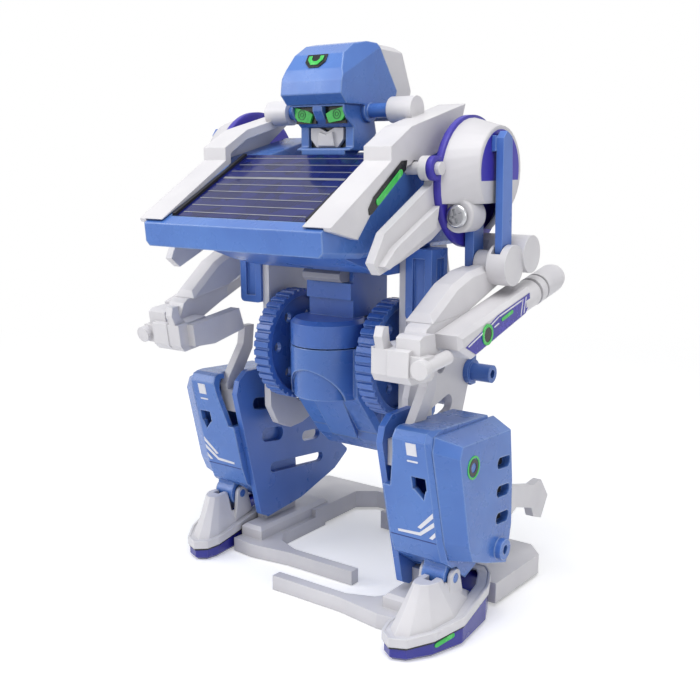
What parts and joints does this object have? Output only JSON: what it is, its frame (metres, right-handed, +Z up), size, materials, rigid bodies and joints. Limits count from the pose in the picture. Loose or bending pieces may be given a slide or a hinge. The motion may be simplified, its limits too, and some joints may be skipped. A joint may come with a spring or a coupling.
{
  "type": "solar robot kit",
  "caption": "Walking toy robot with a sloping solar panel chest, a nodding head, swinging arms and two clawed legs stepped by a geared crank.",
  "frame": {"origin": "on the floor, at the middle of the footprint box of the standing robot", "axes": "+Z up; the robot faces -Y; its left side is +X"},
  "size_m": [0.1304, 0.1216, 0.1789],
  "materials": {
    "blue_plastic": "moulded ABS, satin gloss",
    "white_plastic": "moulded ABS, satin gloss",
    "violet_plastic": "moulded ABS with printed colour",
    "grey_plastic": "moulded nylon, satin",
    "green_lens": "clear tinted, glossy",
    "solar_cell": "laminated cell under clear resin",
    "steel": "drawn steel and plated can"
  },
  "bodies": {
    "torso": {"gearbox_front": "blue_plastic", "gearbox_rear": "blue_plastic", "waist_cap": "blue_plastic", "latch_button": "grey_plastic", "motor": "steel", "chest_tray": "blue_plastic", "chest_base": "blue_plastic", "solar_panel": "solar_cell", "rail_left": "white_plastic", "rail_right": "white_plastic", "shoulder_pins": "white_plastic", "shoulder_post_left": "blue_plastic", "shoulder_post_right": "blue_plastic", "side_plate_left": "white_plastic", "side_plate_right": "white_plastic", "axle_peg_left": "blue_plastic", "axle_peg_right": "blue_plastic"},
    "rotor": {"motor_pinion": "grey_plastic"},
    "idler": {"idler_gear": "grey_plastic"},
    "crank": {"crank_axle": "steel", "drive_gear": "grey_plastic", "hip_disc_left": "blue_plastic", "hip_disc_right": "blue_plastic", "crank_arm_left": "white_plastic", "crank_arm_right": "white_plastic"},
    "head": {"helmet": "blue_plastic", "face_mask": "blue_plastic", "mouth_plate": "white_plastic", "eye_lenses": "green_lens", "head_back": "white_plastic"},
    "left_arm": {"shoulder_pod_left": "white_plastic", "spike_wing_left": "white_plastic", "upper_arm_left": "blue_plastic"},
    "left_forearm": {"forearm_shell_left": "white_plastic", "blaster_left": "white_plastic", "hand_left": "white_plastic"},
    "left_leg": {"leg_hanger_left": "white_plastic", "guide_arm_left": "white_plastic", "inner_plate_left": "blue_plastic", "shin_shell_left": "blue_plastic", "calf_cover_left": "blue_plastic", "heel_spur_left": "white_plastic", "claw_fork_left": "white_plastic"},
    "left_shoe": {"shoe_upper_left": "white_plastic", "shoe_sole_left": "violet_plastic"},
    "right_arm": {"shoulder_pod_right": "white_plastic", "spike_wing_right": "white_plastic", "upper_arm_right": "blue_plastic"},
    "right_forearm": {"forearm_shell_right": "white_plastic", "blaster_right": "white_plastic", "hand_right": "white_plastic"},
    "right_leg": {"leg_hanger_right": "white_plastic", "guide_arm_right": "white_plastic", "inner_plate_right": "blue_plastic", "shin_shell_right": "blue_plastic", "calf_cover_right": "blue_plastic", "heel_spur_right": "white_plastic", "claw_fork_right": "white_plastic"},
    "right_shoe": {"shoe_upper_right": "white_plastic", "shoe_sole_right": "violet_plastic"}
  },
  "joints": [
    {"name": "crank_spin", "type": "hinge", "parent": "torso", "child": "crank", "pos_m": [0, -0.0042, 0.0796], "axis": [1, 0, 0], "continuous": true},
    {"name": "left_leg_pin", "type": "hinge", "parent": "crank", "child": "left_leg", "pos_m": [0.0348, -0.0132, 0.0796], "axis": [1, 0, 0], "continuous": true},
    {"name": "right_leg_pin", "type": "hinge", "parent": "crank", "child": "right_leg", "pos_m": [-0.0348, 0.0048, 0.0796], "axis": [1, 0, 0], "continuous": true},
    {"name": "idler_spin", "type": "hinge", "parent": "torso", "child": "idler", "pos_m": [0.004, 0.00692, 0.07369], "axis": [1, 0, 0], "continuous": true},
    {"name": "motor_spin", "type": "hinge", "parent": "torso", "child": "rotor", "pos_m": [0.006, 0.01805, 0.06777], "axis": [1, 0, 0], "continuous": true},
    {"name": "head_tilt", "type": "hinge", "parent": "torso", "child": "head", "pos_m": [0, -0.0062, 0.1578], "axis": [1, 0, 0], "range_deg": [-20, 10]},
    {"name": "left_shoulder", "type": "hinge", "parent": "torso", "child": "left_arm", "pos_m": [0.0433, -0.0192, 0.1403], "axis": [1, 0, 0], "range_deg": [-26, 0]},
    {"name": "right_shoulder", "type": "hinge", "parent": "torso", "child": "right_arm", "pos_m": [-0.0433, -0.0192, 0.1403], "axis": [1, 0, 0], "range_deg": [-34, 0]},
    {"name": "left_elbow", "type": "hinge", "parent": "left_arm", "child": "left_forearm", "pos_m": [0.05, -0.0002, 0.1115], "axis": [1, 0, 0], "range_deg": [-16, 0]},
    {"name": "right_elbow", "type": "hinge", "parent": "right_arm", "child": "right_forearm", "pos_m": [-0.05, 0.00362, 0.11442], "axis": [1, 0, 0], "range_deg": [-16, 0]},
    {"name": "left_ankle", "type": "hinge", "parent": "left_leg", "child": "left_shoe", "pos_m": [0.0511, -0.0252, 0.0195], "axis": [1, 0, 0], "range_deg": [-12, 0]},
    {"name": "right_ankle", "type": "hinge", "parent": "right_leg", "child": "right_shoe", "pos_m": [-0.0511, -0.0072, 0.0195], "axis": [1, 0, 0], "range_deg": [-12, 0]}
  ],
  "couplings": [
    {"joint": "left_leg_pin", "follows": "crank_spin", "ratio": -1},
    {"joint": "right_leg_pin", "follows": "crank_spin", "ratio": -1},
    {"joint": "idler_spin", "follows": "crank_spin", "ratio": -3},
    {"joint": "motor_spin", "follows": "crank_spin", "ratio": 9}
  ]
}
